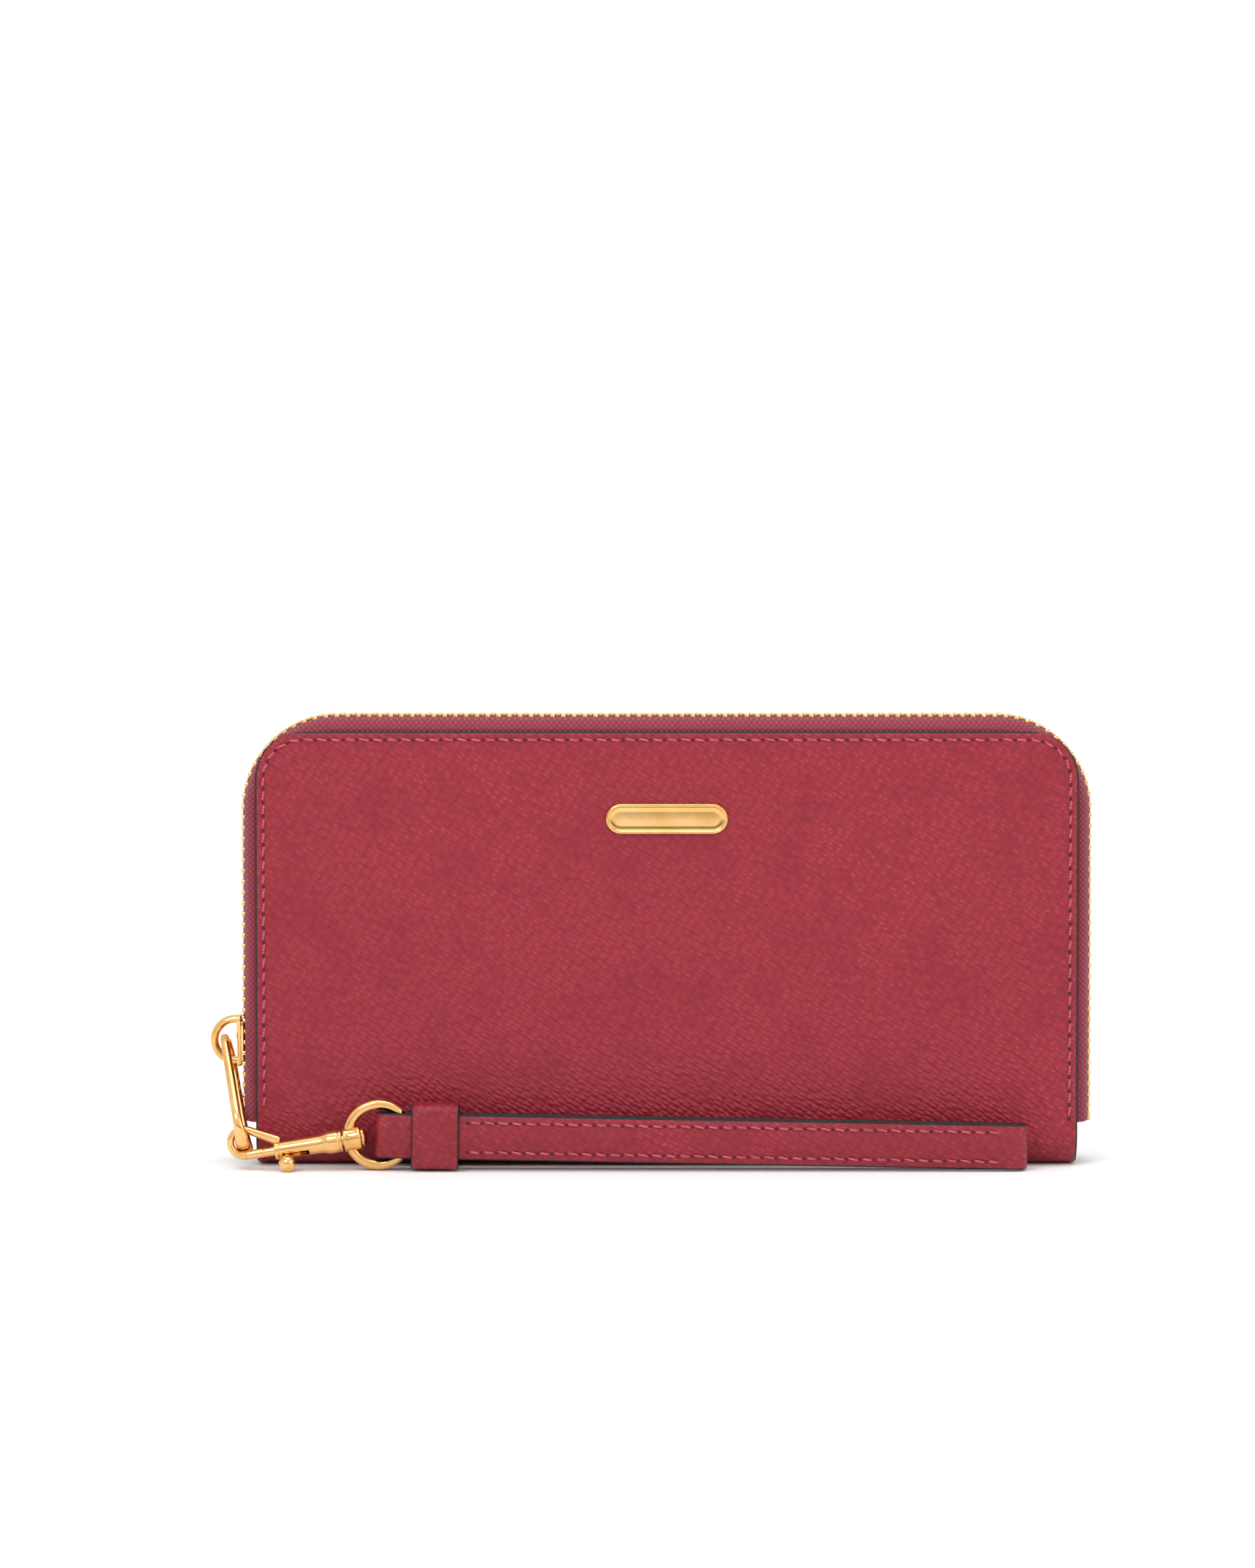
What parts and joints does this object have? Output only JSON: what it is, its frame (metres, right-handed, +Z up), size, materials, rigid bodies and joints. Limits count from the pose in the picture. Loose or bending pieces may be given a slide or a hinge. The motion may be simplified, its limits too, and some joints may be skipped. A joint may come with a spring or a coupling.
{
  "type": "wristlet wallet",
  "caption": "Long zip-around leather wallet with card pockets, a zipped coin pocket and a clip-on wrist strap hanging from the zip pull.",
  "frame": {"origin": "middle of the flat underside of the spine, on the surface the wallet stands on", "axes": "+X along the wallet away from the zip's closed end, +Z up, -Y towards the front cover"},
  "size_m": [0.203, 0.0355, 0.1036],
  "materials": {
    "leather": "crossgrain embossed, semi-matt",
    "lining": "matt",
    "zip_tape": "woven",
    "thread": "satin",
    "gold": "polished gold plate",
    "zip_metal": "polished",
    "steel": "drawn wire"
  },
  "bodies": {
    "front_half": {"front_cover": "leather", "spine": "leather", "spine_lining": "lining", "front_lining": "lining", "front_zip_tape": "zip_tape", "front_zip_teeth": "zip_metal", "front_end_stops": "gold", "front_stitching": "thread", "emblem_plate": "gold", "emblem_posts": "gold", "front_card_panel": "lining", "front_card_pockets": "leather", "left_front_gusset": "lining", "right_front_gusset": "lining"},
    "back_half": {"back_cover": "leather", "back_lining": "lining", "back_zip_tape": "zip_tape", "back_zip_teeth": "zip_metal", "back_end_stops": "gold", "back_stitching": "thread", "back_card_panel": "lining", "back_card_pockets": "leather", "left_back_gusset": "lining", "right_back_gusset": "lining"},
    "coin_pocket": {"coin_pocket_front": "lining", "coin_pocket_back": "lining", "coin_pocket_edge": "leather", "coin_zip_tape": "zip_tape", "coin_zip_teeth": "zip_metal"},
    "coin_slider": {"coin_zip_slider": "gold"},
    "coin_pull": {"coin_zip_pull": "gold"},
    "main_slider": {"zip_slider": "gold"},
    "link": {"pull_link": "gold"},
    "hook": {"hook_barrel": "gold", "hook_eye": "gold", "hook_neck": "gold", "swivel_pin": "gold", "hook_spring": "steel"},
    "bolt": {"hook_bolt": "gold"},
    "ring": {"swivel_ring": "gold", "swivel_collar": "gold", "strap_tab": "leather"},
    "strap": {"strap_face": "leather", "strap_lining": "leather", "strap_filler": "leather", "strap_keeper": "leather", "strap_stitching": "thread"}
  },
  "joints": [
    {"name": "open_back", "type": "hinge", "parent": "front_half", "child": "back_half", "pos_m": [0, 0.012, 0.009], "axis": [-1, 0, 0], "range_deg": [0, 50]},
    {"name": "coin_pocket_turn", "type": "hinge", "parent": "front_half", "child": "coin_pocket", "pos_m": [0, 0.012, 0.009], "axis": [-1, 0, 0], "range_deg": [0, 25]},
    {"name": "coin_slider_slide", "type": "slide", "parent": "coin_pocket", "child": "coin_slider", "axis": [1, 0, 0], "range_m": [0, 0.12]},
    {"name": "coin_pull_turn", "type": "hinge", "parent": "coin_slider", "child": "coin_pull", "pos_m": [-0.0568, 0, 0.0869], "axis": [0, -1, 0], "range_deg": [0, 80]},
    {"name": "main_slider_slide", "type": "slide", "parent": "front_half", "child": "main_slider", "axis": [0, 0, 1], "range_m": [0, 0.046]},
    {"name": "link_swing", "type": "hinge", "parent": "main_slider", "child": "link", "pos_m": [-0.10165, 0, 0.0278], "axis": [0, 1, 0], "range_deg": [0, 60]},
    {"name": "hook_swing", "type": "hinge", "parent": "link", "child": "hook", "pos_m": [-0.09669, -0.0185, 0.00571], "axis": [0, -1, 0], "range_deg": [0, 60]},
    {"name": "bolt_slide", "type": "slide", "parent": "hook", "child": "bolt", "axis": [0.9877, 0, 0.1564], "range_m": [0, 0.0045], "stiffness_N_per_m": 400},
    {"name": "ring_swivel", "type": "hinge", "parent": "hook", "child": "ring", "pos_m": [-0.0659, -0.0185, 0.00815], "axis": [-0.9877, 0, -0.1564], "range_deg": [0, 15]},
    {"name": "strap_bend", "type": "hinge", "parent": "ring", "child": "strap", "pos_m": [-0.05855, -0.0213, 0.00801], "axis": [-0.0183, 0, -0.9998], "range_deg": [0, 75]}
  ],
  "couplings": [
    {"joint": "coin_pocket_turn", "follows": "open_back", "ratio": 0.5}
  ]
}
